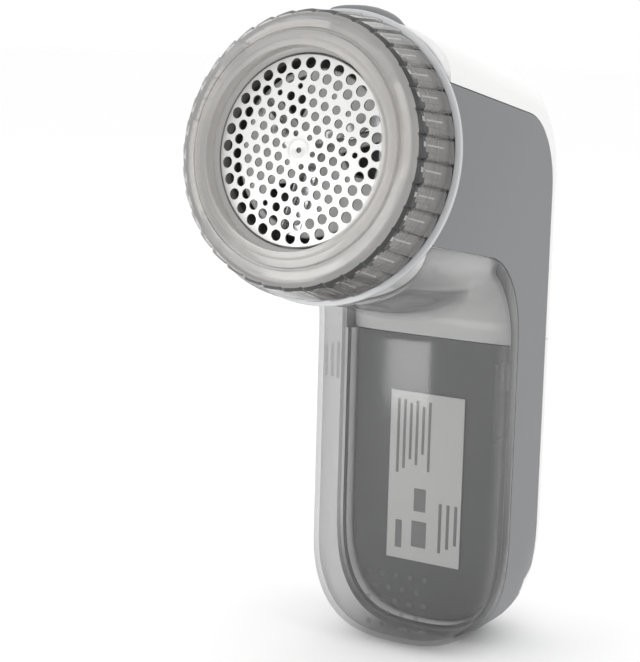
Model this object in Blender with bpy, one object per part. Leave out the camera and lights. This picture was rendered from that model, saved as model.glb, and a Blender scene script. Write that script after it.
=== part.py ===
"""Battery fabric shaver: a handle with a see-through lint bin in front of it and a round cutting head on top.

Row frame: +Z up along the handle, the shaving face towards -Y, origin under the middle of the
bounding box. Sizes below are in millimetres and are turned into metres when a mesh is made.
The body is one outer shape, split by a parting surface into the lint bin in front and the shells
behind. That shape is a loft across the width: a closed centre outline at x = 0, a closed side
outline at the flat sides, and a superellipse between them.
"""

import math

import bmesh
import bpy
from mathutils import Matrix, Vector

MM = 0.001
GAP = 0.3                      # clearance between touching pieces

# ---- driving dimensions: head ----
HEAD_TILT = math.radians(10)   # the shaving face looks this much upwards
HEAD_Y = -67.9                 # centre of the foil's outer row of holes
HEAD_Z = 147.3
COLLAR_FRONT = -13.2           # positions along the head's axis, 0 at the foil's rim, + towards the fabric
COLLAR_BACK = -14.6
BODY_FRONT = COLLAR_BACK - GAP
COLLAR_R = 39.0
CROWN_U = 37.2                 # height of the white crown above the head's axis
BELLY_U = -38.5                # underside of the bin's upper part
PANEL_TOP_U = 21.0
PANEL_LOW_U = -20.5
SPACER_FRONT_R = 36.2          # the clear ring widens a little towards the collar
SPACER_R = 38.2
SPACER_TEETH = 36
FOIL_R = 24.6
FOIL_DOME = 1.2
FOIL_THICK = 0.5
HOLE_ROW_R = 22.5
HOLE_ROW_COUNT = 32
ROTOR_R = 22.0
BLADES = 3
MOTOR_R = 12.0
MOTOR_BACK = -41.8
SLEEVE_R = 32.2
SLEEVE_BORE = 30.4

# ---- driving dimensions: handle ----
SIDE_X = 28.0                  # half width at the back edge of the side panels
SIDE_DRAFT = 0.0633            # the panels open towards the front by this slope
BACK_EDGE_Y = 23.3             # back edge of the side panels
BACK_Y = 31.5
BIN_Y = -18.8                  # front of the lint bin
SEAM_Y = 2.8                   # plane where the bin meets the shells
ARMPIT_R = 26.0
BOTTOM_H = 35.5                # height of the rounded bottom, seen from the front
SHELL = 2.2
ORIGIN_SHIFT = 22.86           # moves the whole object so that the origin is under its middle
WHITE_WALL = 1.8
BIN_WALL = 1.5
LINER = 0.8                    # white wall between the grey shells and the battery tray
PANEL_SKIN = 1.5               # thickness of the grey panel over the white housing
HOUSING_Z = 89.5               # level of the seam between the white housing and the battery compartment
COVER_LOW_Z = 12.5
COVER_HALF = 26.5
KNOB_HALF = 7.5
TRAY_Y = 5.0
NECK_Y = 4.8

# ---- driving dimensions: batteries (two AA cells) ----
CELL_R = 7.1
CELL_LENGTH = 49.0
CELL_X = 8.2
CELL_Y = 16.4
CELL_LOW_Z = 24.0

COLOURS = {
    "white_plastic": ((0.86, 0.86, 0.85), 0.3, 0.0, 1.0),
    "grey_plastic": ((0.26, 0.27, 0.28), 0.4, 0.0, 1.0),
    "dark_plastic": ((0.1, 0.1, 0.105), 0.45, 0.0, 1.0),
    "smoky_clear": ((0.3, 0.3, 0.3), 0.1, 0.0, 0.4),
    "collar_silver": ((0.6, 0.61, 0.62), 0.3, 0.5, 1.0),
    "foil_metal": ((0.8, 0.8, 0.79), 0.25, 1.0, 1.0),
    "blade_steel": ((0.6, 0.6, 0.6), 0.25, 1.0, 1.0),
    "spring_steel": ((0.5, 0.5, 0.5), 0.35, 1.0, 1.0),
    "brass": ((0.75, 0.6, 0.3), 0.35, 1.0, 1.0),
    "label_paper": ((0.55, 0.55, 0.54), 0.6, 0.0, 1.0),
    "cell_wrap": ((0.12, 0.3, 0.16), 0.35, 0.0, 1.0),
    "board_green": ((0.05, 0.2, 0.1), 0.5, 0.0, 1.0),
    "wire_red": ((0.5, 0.03, 0.03), 0.5, 0.0, 1.0),
    "wire_black": ((0.02, 0.02, 0.02), 0.5, 0.0, 1.0),
}

TILT_SIN = math.sin(HEAD_TILT)
TILT_COS = math.cos(HEAD_TILT)


def clear_scene():
    for item in list(bpy.data.objects):
        bpy.data.objects.remove(item, do_unlink=True)


def material(name):
    found = bpy.data.materials.get(name)
    if found:
        return found
    colour, roughness, metallic, alpha = COLOURS[name]
    made = bpy.data.materials.new(name)
    made.use_nodes = True
    shader = made.node_tree.nodes["Principled BSDF"]
    shader.inputs["Base Color"].default_value = (*colour, 1.0)
    shader.inputs["Roughness"].default_value = roughness
    shader.inputs["Metallic"].default_value = metallic
    shader.inputs["Alpha"].default_value = alpha
    return made


# ---- frames of reference ----
def head_matrix():
    """Local +Z along the head's axis out of the shaving face, local +Y up the face, local +X to the right."""
    across = Vector((1, 0, 0))
    up = Vector((0, TILT_SIN, TILT_COS))
    out = Vector((0, -TILT_COS, TILT_SIN))
    turn = Matrix((across, up, out)).transposed().to_4x4()
    return Matrix.Translation(Vector((0, HEAD_Y, HEAD_Z)) * MM) @ turn


def head_point(along, up):
    """(y, z) of a point on the middle plane, given along and above the head's axis."""
    return HEAD_Y - along * TILT_COS + up * TILT_SIN, HEAD_Z + along * TILT_SIN + up * TILT_COS


def z_on_line(up, y):
    """Height at y of the line that runs parallel to the head's axis at that distance above it."""
    along = (HEAD_Y + up * TILT_SIN - y) / TILT_COS
    return HEAD_Z + along * TILT_SIN + up * TILT_COS


def half_width(y, inset):
    return SIDE_X + SIDE_DRAFT * (24.0 - y) - inset


# ---- making objects ----
def add_mesh(name, verts, faces, material_name, place=None, smooth=35):
    """An object from vertices in millimetres, with its faces turned outward."""
    mesh = bpy.data.meshes.new(name)
    mesh.from_pydata([Vector(v) * MM for v in verts], [], faces)
    shape = bmesh.new()
    shape.from_mesh(mesh)
    bmesh.ops.recalc_face_normals(shape, faces=shape.faces)
    shape.to_mesh(mesh)
    shape.free()
    if material_name:
        mesh.materials.append(material(material_name))
        mesh.shade_smooth()
        mesh.set_sharp_from_angle(angle=math.radians(smooth))
    made = bpy.data.objects.new(name, mesh)
    bpy.context.scene.collection.objects.link(made)
    if place:
        made.matrix_world = place
    return made


def as_cutter(shape):
    shape.hide_render = True
    shape.display_type = "WIRE"
    return shape


def combine(target, tool, operation):
    step = target.modifiers.new(tool.name, "BOOLEAN")
    step.operation = operation
    step.object = tool
    step.solver = "EXACT"
    return target


def cut(target, *tools):
    for tool in tools:
        combine(target, tool, "DIFFERENCE")
    return target


def join(target, *tools):
    for tool in tools:
        combine(target, tool, "UNION")
    return target


def keep(target, tool):
    return combine(target, tool, "INTERSECT")


def turned(name, profile, material_name, place=None, steps=32):
    """A closed outline of (radius, z) points turned about local Z."""
    rows = [[i] if r < 1e-6 else None for i, (r, z) in enumerate(profile)]
    verts = []
    for i, (r, z) in enumerate(profile):
        count = 1 if rows[i] else steps
        start = len(verts)
        for k in range(count):
            angle = 2 * math.pi * k / steps
            verts.append((r * math.cos(angle), r * math.sin(angle), z))
        rows[i] = list(range(start, start + count))
    faces = []
    for i, row in enumerate(rows):
        follower = rows[(i + 1) % len(rows)]
        if len(row) == 1 and len(follower) == 1:
            continue
        for k in range(steps):
            after = (k + 1) % steps
            corners = [row[k % len(row)], row[after % len(row)],
                       follower[after % len(follower)], follower[k % len(follower)]]
            faces.append(list(dict.fromkeys(corners)))
    return add_mesh(name, verts, faces, material_name, place)


def slab(name, low, high, material_name=None, place=None):
    """A box between two corners."""
    verts = [(x, y, z) for x in (low[0], high[0]) for y in (low[1], high[1]) for z in (low[2], high[2])]
    faces = [(0, 1, 3, 2), (4, 6, 7, 5), (0, 4, 5, 1), (2, 3, 7, 6), (0, 2, 6, 4), (1, 5, 7, 3)]
    return add_mesh(name, verts, faces, material_name, place)


def prism(name, outline, low, high, material_name=None, place=None, axis=2):
    """An outline pushed from low to high along an axis: 0 is X with (y, z) points, 2 is Z with (x, y)."""
    count = len(outline)
    verts = []
    for level in (low, high):
        for a, b in outline:
            verts.append((level, a, b) if axis == 0 else (a, b, level))
    faces = [list(range(count)), list(range(count, 2 * count))]
    faces += [(k, (k + 1) % count, count + (k + 1) % count, count + k) for k in range(count)]
    return add_mesh(name, verts, faces, material_name, place)


def tube(name, route, radius, material_name, sides=6, place=None):
    """A round wire along a list of points, with flat ends."""
    points = [Vector(p) for p in route]
    verts = []
    side = None
    for i, point in enumerate(points):
        along = (points[min(i + 1, len(points) - 1)] - points[max(i - 1, 0)]).normalized()
        if side is None:
            side = along.orthogonal().normalized()
        side = (side - along * side.dot(along)).normalized()
        other = along.cross(side)
        for k in range(sides):
            angle = 2 * math.pi * k / sides
            verts.append(point + radius * (math.cos(angle) * side + math.sin(angle) * other))
    last = (len(points) - 1) * sides
    faces = [list(range(sides)), list(range(last, last + sides))]
    for i in range(len(points) - 1):
        for k in range(sides):
            a = i * sides + k
            b = i * sides + (k + 1) % sides
            faces.append((a, b, b + sides, a + sides))
    return add_mesh(name, verts, faces, material_name, place)


def smooth_route(points, per_span):
    """Points along a Catmull-Rom curve through the given points."""
    ends = [points[0], *points, points[-1]]
    route = []
    for a, b, c, d in zip(ends, ends[1:], ends[2:], ends[3:]):
        for k in range(per_span):
            t = k / per_span
            route.append([0.5 * (2 * q + (r - p) * t + (2 * p - 5 * q + 4 * r - s) * t * t
                                 + (3 * q - p - 3 * r + s) * t ** 3) for p, q, r, s in zip(a, b, c, d)])
    route.append(list(points[-1]))
    return route


def coil(name, radius, wire, low, high, turns, material_name, place=None, per_turn=8):
    """A compression spring round local Z."""
    count = int(turns * per_turn)
    route = []
    for k in range(count + 1):
        angle = 2 * math.pi * k / per_turn
        z = low + wire + (high - low - 2 * wire) * k / count
        route.append((radius * math.cos(angle), radius * math.sin(angle), z))
    return tube(name, route, wire, material_name, 5, place)


# ---- outlines of the body ----
def rounded(corners):
    """(y, z) points of an outline of (y, z, radius, segments) corners; radius 0 keeps a corner sharp."""
    points = []
    count = len(corners)
    for i, (y, z, radius, segments) in enumerate(corners):
        here = Vector((y, z))
        if not segments:
            points.append((y, z))
            continue
        before = (Vector(corners[i - 1][:2]) - here).normalized()
        after = (Vector(corners[(i + 1) % count][:2]) - here).normalized()
        half = before.angle(after) / 2
        centre = here + (before + after).normalized() * radius / math.sin(half)
        start = here + before * radius / math.tan(half) - centre
        sweep = start.angle_signed(here + after * radius / math.tan(half) - centre)
        for k in range(segments + 1):
            turn = -sweep * k / segments
            spoke = Vector((start.x * math.cos(turn) - start.y * math.sin(turn),
                            start.x * math.sin(turn) + start.y * math.cos(turn)))
            points.append(tuple(centre + spoke))
    return points


def loft_across(name, centre, sides, powers, insets, material_name=None, rings=6):
    """A closed body between the centre outline and the two side outlines.

    centre and sides hold the same number of (y, z) points. powers holds the superellipse power at each
    point, and insets how far the body stays inside the side planes there.
    """
    count = len(centre)
    verts = []
    for j in range(-rings, rings + 1):
        angle = abs(j) / rings * math.pi / 2
        sign = -1 if j < 0 else 1
        for (cy, cz), (sy, sz), power, inset in zip(centre, sides, powers, insets):
            swell = math.cos(angle) ** (2 / power) if abs(j) < rings else 0.0
            y = sy + (cy - sy) * swell
            x = sign * half_width(sy, inset) * math.sin(angle) ** (2 / power)
            verts.append((x, y, sz + (cz - sz) * swell))
    faces = [list(range(count)), list(range(2 * rings * count, (2 * rings + 1) * count))]
    for j in range(2 * rings):
        for k in range(count):
            after = (k + 1) % count
            faces.append((j * count + k, j * count + after, (j + 1) * count + after, (j + 1) * count + k))
    return add_mesh(name, verts, faces, material_name)


def spread(corners, values):
    """A value for each point that rounded() makes: a corner's arc blends one edge's value into the next."""
    made = []
    for i, corner in enumerate(corners):
        before, after = values[i - 1], values[i]
        segments = corner[3]
        if not segments:
            made.append(after if i == 0 else before)
            continue
        made += [before + (after - before) * k / segments for k in range(segments + 1)]
    return made


def outer_corners(inset):
    """Corners of the whole outer shape, moved inward by inset: centre outline, side outline, edge powers."""
    front = BODY_FRONT if inset == 0 else BODY_FRONT + 8
    crown = CROWN_U - inset
    belly = BELLY_U + inset
    back = BACK_Y - inset
    low = inset
    bin_front = BIN_Y + inset
    panel_top = PANEL_TOP_U
    panel_low = -PANEL_TOP_U
    side_back = BACK_EDGE_Y - inset * 0.3
    side_front = BIN_Y + 13.2
    centre = [
        (*head_point(front, crown), 0, 0),
        (back, z_on_line(crown, back), 28 - inset, 6),
        (back, low, 16 - inset, 4),
        (bin_front, low, 12 - inset, 4),
        (bin_front, z_on_line(belly, bin_front), 10 + inset, 4),
        (*head_point(front, belly), 0, 0),
    ]
    sides = [
        (*head_point(front, panel_top), 0, 0),
        (side_back, z_on_line(panel_top, side_back), 23, 6),
        (side_back, BOTTOM_H, 10, 4),
        (side_front, BOTTOM_H, 6, 4),
        (side_front, z_on_line(panel_low, side_front), 24, 4),
        (*head_point(front, panel_low), 0, 0),
    ]
    powers = [2.2, 3.2, 2.85, 2.6, 2.2, 2.0]
    return centre, sides, powers


def outer_shape(name, inset, side_inset):
    centre, sides, powers = outer_corners(inset)
    insets = [side_inset] * len(powers)
    return loft_across(name, rounded(centre), rounded(sides), spread(centre, powers), spread(centre, insets))


def parting_outline(shift):
    """(y, z) outline of everything in front of the parting surface, moved forward by shift."""
    low_u = PANEL_LOW_U - shift
    seam = SEAM_Y - shift
    start = head_point(BODY_FRONT + 12, low_u)
    curve = rounded([
        (*start, 0, 0),
        (seam, z_on_line(low_u, seam), ARMPIT_R, 8),
        (seam, -20, 0, 0),
        (-120, -20, 0, 0),
        (-120, 100, 0, 0),
    ])
    return curve


def panel_outline(grow):
    """(y, z) outline of the grey side panels, without an end below and in front, widened by grow."""
    top = PANEL_TOP_U + grow
    back = BACK_EDGE_Y + grow
    return rounded([
        (*head_point(BODY_FRONT + 12, top), 0, 0),
        (back, z_on_line(top, back), 23 + grow, 6),
        (back, -20, 0, 0),
        (-120, -20, 0, 0),
        (-120, 100, 0, 0),
    ])


def housing_corners(inset):
    """The white housing: crown and back like the outer shape, then the neck wall and the motor's belly."""
    opened = inset > 0
    front = BODY_FRONT + (8 if opened else 0)
    crown = CROWN_U - inset
    back = BACK_Y - inset
    floor = HOUSING_Z + GAP / 2 - (12 if opened else 0)
    neck = NECK_Y + inset
    belly = -31.5 + inset
    side_low = PANEL_LOW_U + GAP / 2 + inset
    side_back = BACK_EDGE_Y - inset * 0.3
    centre = [
        (*head_point(front, crown), 0, 0),
        (back, z_on_line(crown, back), 28 - inset, 6),
        (back, floor, 0, 0),
        (neck, floor, 0, 0),
        (neck, z_on_line(belly, neck), 9 + inset, 4),
        (*head_point(front, belly), 0, 0),
    ]
    sides = [
        (*head_point(front, PANEL_TOP_U), 0, 0),
        (side_back, z_on_line(PANEL_TOP_U, side_back), 23, 6),
        (side_back, floor, 0, 0),
        (neck + 3, floor, 0, 0),
        (neck + 3, z_on_line(side_low, neck + 3), ARMPIT_R, 4),
        (*head_point(front, side_low), 0, 0),
    ]
    powers = [2.2, 3.2, 3.2, 4.0, 2.3, 2.0]
    return centre, sides, powers


def draft_prism(name, inset, low_z, high_z, low_y=-130.0, high_y=60.0):
    """A block whose sides stay inset from the drafted side planes."""
    verts = []
    for z in (low_z, high_z):
        for sign in (-1, 1):
            for y in (low_y, high_y):
                verts.append((sign * half_width(y, inset), y, z))
    faces = [(0, 1, 3, 2), (4, 6, 7, 5), (0, 2, 6, 4), (1, 5, 7, 3), (0, 4, 5, 1), (2, 3, 7, 6)]
    return as_cutter(add_mesh(name, verts, faces, None))


# ---- the shells ----
def make_shells(head):
    front_zone = as_cutter(prism("cut_front_of_parting", parting_outline(-GAP / 2), -60, 60, axis=0))
    hollow = as_cutter(outer_shape("cut_shell_hollow", SHELL, SHELL))
    head_core = draft_prism("cut_head_core", PANEL_SKIN, HOUSING_Z, 260)
    cover_window = as_cutter(slab("cut_cover_window", (-26.8, 19, COVER_LOW_Z - GAP), (26.8, 60, 260)))
    rear_zone = as_cutter(slab("cut_rear_zone", (-60, -130, COVER_LOW_Z - GAP), (60, 90, 260)))
    cut(rear_zone, as_cutter(prism("cut_panel_area", panel_outline(0), -70, 70, axis=0)))
    for name, low_x, high_x in (("side_shell_left", -60, -GAP / 2), ("side_shell_right", GAP / 2, 60)):
        shell = outer_shape(name, 0, 0)
        shell.data.materials.append(material("grey_plastic"))
        keep(shell, as_cutter(slab("cut_half_" + name, (low_x, -130, -20), (high_x, 60, 260))))
        cut(shell, front_zone, hollow, head_core, cover_window, rear_zone)

    recess_depth = PANEL_SKIN + GAP
    centre, sides, powers = housing_corners(0)
    insets = [0, 0] + [recess_depth + 0.1] * 4
    housing = loft_across("main_housing", rounded(centre), rounded(sides), spread(centre, powers),
                          spread(centre, insets), "white_plastic")
    recess = as_cutter(prism("cut_panel_recess", panel_outline(GAP), -70, 70, axis=0))
    cut(recess, draft_prism("cut_recess_core", recess_depth, -30, 260, -140, 90))
    centre, sides, powers = housing_corners(WHITE_WALL)
    insets = [recess_depth + WHITE_WALL] * len(powers)
    inside = as_cutter(loft_across("cut_housing_inside", rounded(centre), rounded(sides),
                                   spread(centre, powers), spread(centre, insets)))
    outlet = as_cutter(slab("cut_belly_outlet", (-11, -45, -27.5), (11, -20, -16), None, head))
    knob_slot = as_cutter(slab("cut_knob_slot", (-2.2, 30, -33), (2.2, 50, -21), None, head))
    cut(housing, recess, inside, outlet, knob_slot)

    cover = outer_shape("battery_cover", 0, 0)
    cover.data.materials.append(material("white_plastic"))
    cover_top = HOUSING_Z - GAP / 2
    block = as_cutter(slab("cut_cover_block", (-COVER_HALF, 19.3, COVER_LOW_Z), (COVER_HALF, 60, cover_top)))
    join(block, as_cutter(slab("cut_cover_back", (-40, BACK_EDGE_Y + GAP, COVER_LOW_Z), (40, 60, cover_top))))
    keep(cover, block)
    cut(cover, as_cutter(outer_shape("cut_cover_hollow", 2.0, 3.0)))

    liner_depth = SHELL + GAP + LINER
    liner = outer_shape("handle_liner", SHELL + GAP, SHELL + GAP)
    liner.data.materials.append(material("white_plastic"))
    keep(liner, as_cutter(slab("cut_liner_block", (-40, SEAM_Y + GAP, -10), (40, 18.8, HOUSING_Z - GAP / 2))))
    cut(liner, as_cutter(outer_shape("cut_liner_hollow", liner_depth, liner_depth)))

    tray_depth = liner_depth + GAP
    tray = outer_shape("battery_tray", tray_depth, tray_depth)
    tray.data.materials.append(material("grey_plastic"))
    keep(tray, as_cutter(slab("cut_tray_block", (-40, TRAY_Y, -10), (40, 18.8, HOUSING_Z - GAP / 2))))
    hollow = as_cutter(outer_shape("cut_tray_hollow", tray_depth + 1.8, tray_depth + 1.8))
    keep(hollow, as_cutter(slab("cut_tray_inside", (-40, TRAY_Y + 1.8, -10), (40, 60, 260))))
    cut(tray, hollow)


def make_bin():
    lint_bin = outer_shape("lint_bin", 0, 0)
    lint_bin.data.materials.append(material("smoky_clear"))
    keep(lint_bin, as_cutter(prism("cut_behind_parting", parting_outline(GAP / 2), -60, 60, axis=0)))
    hollow = as_cutter(outer_shape("cut_bin_hollow", BIN_WALL, BIN_WALL))
    cut(lint_bin, hollow)


# ---- the cutting head ----
def foil_height(radius):
    return FOIL_DOME * (1 - (radius / FOIL_R) ** 2)


def make_foil(head):
    radii = [FOIL_R * k / 5 for k in range(6)]
    front = [(r, foil_height(r)) for r in radii]
    back = [(r, foil_height(r) - FOIL_THICK) for r in reversed(radii[:-1])]
    rim = [(FOIL_R + 0.3, -0.4), (FOIL_R + 0.3, -3.0), (26.8, -3.0), (26.8, -3.5),
           (FOIL_R - 0.3, -3.5), (FOIL_R - 0.3, -0.6)]
    foil = turned("foil", front + rim + back, "foil_metal", head, 48)
    punches = []
    step = 2 * math.pi / HOLE_ROW_COUNT
    for row_r, hole_r, phase in ((HOLE_ROW_R, 1.5, 0.0), (HOLE_ROW_R - 3.3, 1.37, 0.5)):
        for k in range(HOLE_ROW_COUNT):
            angle = math.pi / 2 + (k + phase) * step
            punches.append((row_r * math.cos(angle), row_r * math.sin(angle), hole_r, angle))
    verts = []
    faces = []
    sides = 6
    for x, y, hole_r, angle in punches:
        start = len(verts)
        for z in (-1.5, 2.5):
            for k in range(sides):
                turn = angle + 2 * math.pi * k / sides
                verts.append((x + hole_r * math.cos(turn), y + hole_r * math.sin(turn), z))
        faces += [[start + k for k in range(sides)], [start + sides + k for k in range(sides)]]
        for k in range(sides):
            after = (k + 1) % sides
            faces.append((start + k, start + after, start + sides + after, start + sides + k))
    cut(foil, as_cutter(add_mesh("cut_foil_holes", verts, faces, None, head)))


def make_spacer_ring(head):
    """The clear ring that sets how far the fabric stays from the foil, with a toothed grip round its edge."""
    profile = [(26.2, 1.3), (26.2, 4.6), (27.6, 4.6), (30.6, 3.3), (34.4, 3.3), (35.0, 2.4),
               (SPACER_FRONT_R, 0.6), (SPACER_R, -12.9), (35.0, -12.9), (35.0, 0.4), (33.8, 0.4),
               (33.8, -8.5), (32.6, -8.5), (32.6, 1.3)]
    steps = SPACER_TEETH * 3
    depths = (0.0, 0.0, 0.9)
    verts = []
    for r, z in profile:
        for k in range(steps):
            angle = 2 * math.pi * k / steps
            depth = depths[k % 3] if r in (SPACER_FRONT_R, SPACER_R) else 0.0
            verts.append(((r - depth) * math.cos(angle), (r - depth) * math.sin(angle), z))
    faces = []
    for i in range(len(profile)):
        row = i * steps
        follower = (i + 1) % len(profile) * steps
        for k in range(steps):
            after = (k + 1) % steps
            faces.append((row + k, row + after, follower + after, follower + k))
    add_mesh("spacer_ring", verts, faces, "smoky_clear", head)


def make_cutter_housing(head):
    """The chamber that the blades spin in: a sleeve round the foil, its ledge, and a floor for the motor."""
    profile = [(SLEEVE_R, -0.8), (SLEEVE_R, COLLAR_BACK), (2.4, COLLAR_BACK), (2.4, -13.0), (25.6, -13.0),
               (25.6, -3.8), (SLEEVE_BORE, -3.8), (SLEEVE_BORE, -0.8)]
    chamber = turned("cutter_housing", profile, "white_plastic", head, 48)
    lint_window = as_cutter(slab("cut_lint_window", (-10.3, -24.1, -20), (10.3, -15.3, -12), None, head))
    screw_hole = [(0, -20), (1.3, -20), (1.3, -10), (0, -10)]
    pin_hole = [(0, -20), (1.5, -20), (1.5, -3), (0, -3)]
    cut(chamber, lint_window)
    for side in (-1, 1):
        place = head @ motor_screw_place(side)
        cut(chamber, as_cutter(turned("cut_motor_screw_%d" % side, screw_hole, None, place, 12)))
    cut(chamber, as_cutter(turned("cut_plunger_hole", pin_hole, None, head @ plunger_place(), 12)))


def plunger_place():
    """The safety plunger stands at the foil's upper left, where the foil's retaining ring can press it."""
    angle = math.radians(125)
    return Matrix.Translation(Vector((28.0 * math.cos(angle), 28.0 * math.sin(angle), 0)) * MM)


def motor_screw_place(side):
    return Matrix.Rotation(math.radians(17), 4, "Z") @ Matrix.Translation(Vector((8.0 * side, 0, 0)) * MM)


def make_head(head):
    collar = [(COLLAR_R - 0.3, COLLAR_FRONT), (COLLAR_R, COLLAR_FRONT - 0.3), (COLLAR_R, COLLAR_BACK + 0.2),
              (COLLAR_R - 0.3, COLLAR_BACK), (SLEEVE_R + GAP, COLLAR_BACK), (SLEEVE_R + GAP, COLLAR_FRONT)]
    turned("head_collar", collar, "collar_silver", head, 64)
    make_cutter_housing(head)
    make_foil(head)
    retainer = [(25.2, -2.7), (25.2, -0.2), (26.4, 0.6), (28.8, 0.9), (29.9, 0.2), (29.9, -3.4),
                (27.1, -3.4), (27.1, -2.7)]
    turned("foil_retainer", retainer, "grey_plastic", head, 48)
    make_spacer_ring(head)
    place = head @ plunger_place()
    turned("safety_plunger", [(0, -3.8), (1.2, -3.8), (1.2, -15.6), (2.2, -15.6), (2.2, -16.6), (0, -16.6)],
           "dark_plastic", place, 10)
    slab("safety_switch", (-3.2, -3.0, -24.6), (3.2, 3.0, -18.1), "dark_plastic", place)


def make_rotor(head):
    carrier = [(0, -4.9), (ROTOR_R, -4.9), (ROTOR_R, -6.4), (5.4, -6.4), (5.4, -11.4), (3.4, -11.4),
               (3.4, -7.4), (0, -7.4)]
    fan_window = [(8.5, -3), (20, -3), (16.5, -11), (10.5, -8)]
    blade = [(0.0, -4.6), (4.0, -4.6), (4.0, -4.1), (0.7, -4.1), (0.7, -0.9), (0.0, -1.2)]
    disc = turned("blade_carrier", carrier, "white_plastic", head, 36)
    for k in range(BLADES):
        spin = head @ Matrix.Rotation(math.radians(18 + 360 / BLADES * k), 4, "Z")
        cut(disc, as_cutter(prism("cut_fan_window_%d" % (k + 1), fan_window, -12, -4, None, spin)))
        prism("blade_%d" % (k + 1), blade, 3.4, 21.6, "blade_steel", spin, 0)
    cap = [(0, -2.2), (2.4, -2.2), (2.9, -2.8), (2.9, -4.6), (0, -4.6)]
    turned("blade_cap", cap, "white_plastic", head, 12)
    turned("drive_coupling", [(1.3, -8.0), (3.0, -8.0), (3.0, -12.2), (1.3, -12.2)], "dark_plastic", head, 6)
    turned("motor_shaft", [(0, -8.1), (1.0, -8.1), (1.0, -16.7), (0, -16.7)], "blade_steel", head, 10)
    make_motor(head)


def make_motor(head):
    wall = MOTOR_R - 0.8
    plug = MOTOR_R - 1.2
    can = turned("motor_can", [(1.4, -15.2), (MOTOR_R, -15.2), (MOTOR_R, MOTOR_BACK), (wall, MOTOR_BACK),
                               (wall, -16.2), (1.4, -16.2)], "spring_steel", head, 32)
    turned("motor_end_cap", [(0, MOTOR_BACK - 1.5), (plug, MOTOR_BACK - 1.5), (plug, MOTOR_BACK + 2),
                             (0, MOTOR_BACK + 2)], "dark_plastic", head, 24)
    armature = [(0, -17.0), (1.0, -17.0), (1.0, -19.5), (8.6, -19.5), (8.6, -36.0), (2.5, -36.0),
                (2.5, -38.4), (0, -38.4)]
    turned("motor_armature", armature, "brass", head, 16)
    screw_hole = [(0, -18), (1.3, -18), (1.3, -14), (0, -14)]
    screw = [(0, -11.4), (2.0, -11.7), (2.0, -12.7), (1.0, -12.7), (1.0, -17.0), (0, -17.0)]
    for k, side in enumerate((-1, 1)):
        place = head @ motor_screw_place(side)
        cut(can, as_cutter(turned("cut_can_screw_%d" % side, screw_hole, None, place, 12)))
        turned("motor_screw_%d" % (k + 1), screw, "spring_steel", place, 10)


def make_switch(head):
    outline = [(36.2, -15.3), (40.2, -15.3), (41.0, -19.0), (41.2, -25.0), (40.7, -29.5), (39.2, -34.0),
               (37.6, -38.9), (30.0, -38.9), (30.0, -15.9)]
    knob = prism("switch_knob", outline, -KNOB_HALF, KNOB_HALF, "grey_plastic", head, 0)
    crown = as_cutter(outer_shape("cut_crown_clearance", -GAP, -GAP))
    ring_room = [(0, 10), (COLLAR_R + GAP, 10), (COLLAR_R + GAP, -14.9), (0, -14.9)]
    cut(knob, crown, as_cutter(turned("cut_knob_ring_room", ring_room, None, head, 64)))
    join(knob, as_cutter(slab("cut_knob_post", (-1.6, 31.2, -26.4), (1.6, 39.0, -23.4), None, head)))
    slab("slide_switch", (-7, 24.5, -36.0), (7, 30.6, -18.0), "dark_plastic", head)
    slab("circuit_board", (-12, 22.6, -52), (15, 24.2, -17), "board_green", head)


# ---- inside the handle ----
def make_power(head):
    cell = [(0, 0), (6.4, 0), (CELL_R, 0.7), (CELL_R, 47.0), (6.4, 47.7), (2.7, 47.7), (2.7, CELL_LENGTH),
            (0, CELL_LENGTH)]
    for k, side in enumerate((-1, 1)):
        stand = Matrix.Translation(Vector((CELL_X * side, CELL_Y, CELL_LOW_Z)) * MM)
        flip = Matrix.Identity(4)
        if side > 0:
            flip = Matrix.Translation(Vector((0, 0, CELL_LENGTH)) * MM) @ Matrix.Rotation(math.pi, 4, "X")
        turned("battery_%d" % (k + 1), cell, "cell_wrap", stand @ flip, 20)
    spring_spans = ((-1, 17.6, CELL_LOW_Z - GAP), (1, CELL_LOW_Z + CELL_LENGTH + GAP, 79.6))
    for k, (side, low, high) in enumerate(spring_spans):
        place = Matrix.Translation(Vector((CELL_X * side, CELL_Y, 0)) * MM)
        coil("battery_spring_%d" % (k + 1), 4.0, 0.4, low, high, 3.5, "spring_steel", place)
    low_contact = slab("contact_bottom", (-14, 10.5, 16.6), (14, 22, 17.3), "spring_steel")
    foot = slab("cut_contact_foot", (CELL_X - 3, CELL_Y - 3, 17.0), (CELL_X + 3, CELL_Y + 3, 23.6))
    join(low_contact, as_cutter(foot))
    top_contact = slab("contact_top_1", (-13, 10.5, 80.2), (-3.4, 22, 80.9), "spring_steel")
    button = slab("cut_contact_button", (-CELL_X - 2, CELL_Y - 2, 73.4), (-CELL_X + 2, CELL_Y + 2, 80.5))
    join(top_contact, as_cutter(button))
    slab("contact_top_2", (3.4, 10.5, 80.2), (13, 22, 80.9), "spring_steel")
    routes = {
        "battery_wire_red": ((-8, 14, 81.3), (-9, 15, 95), (-11, 16, 120), (-11, 6, 146), (-11, -5, 152)),
        "battery_wire_black": ((8, 14, 81.3), (9, 15, 95), (11, 16, 120), (11, 6, 146), (11, -5, 152)),
    }
    for name, route in routes.items():
        tube(name, smooth_route(route, 6), 0.65, "wire_red" if "red" in name else "wire_black")
    motor_leads = {
        "motor_wire_red": ((-5, 3, MOTOR_BACK - 1.9), (-7, 6, -47), (-8, 14, -48), (-8, 22.2, -47)),
        "motor_wire_black": ((5, 3, MOTOR_BACK - 1.9), (7, 6, -47), (8, 14, -48), (8, 22.2, -47)),
    }
    for name, route in motor_leads.items():
        tube(name, smooth_route(route, 6), 0.65, "wire_red" if "red" in name else "wire_black", 6, head)
    slab("rating_label", (-12.3, TRAY_Y - 0.55, 21.2), (12.3, TRAY_Y - GAP, 72.4), "label_paper")


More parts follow.
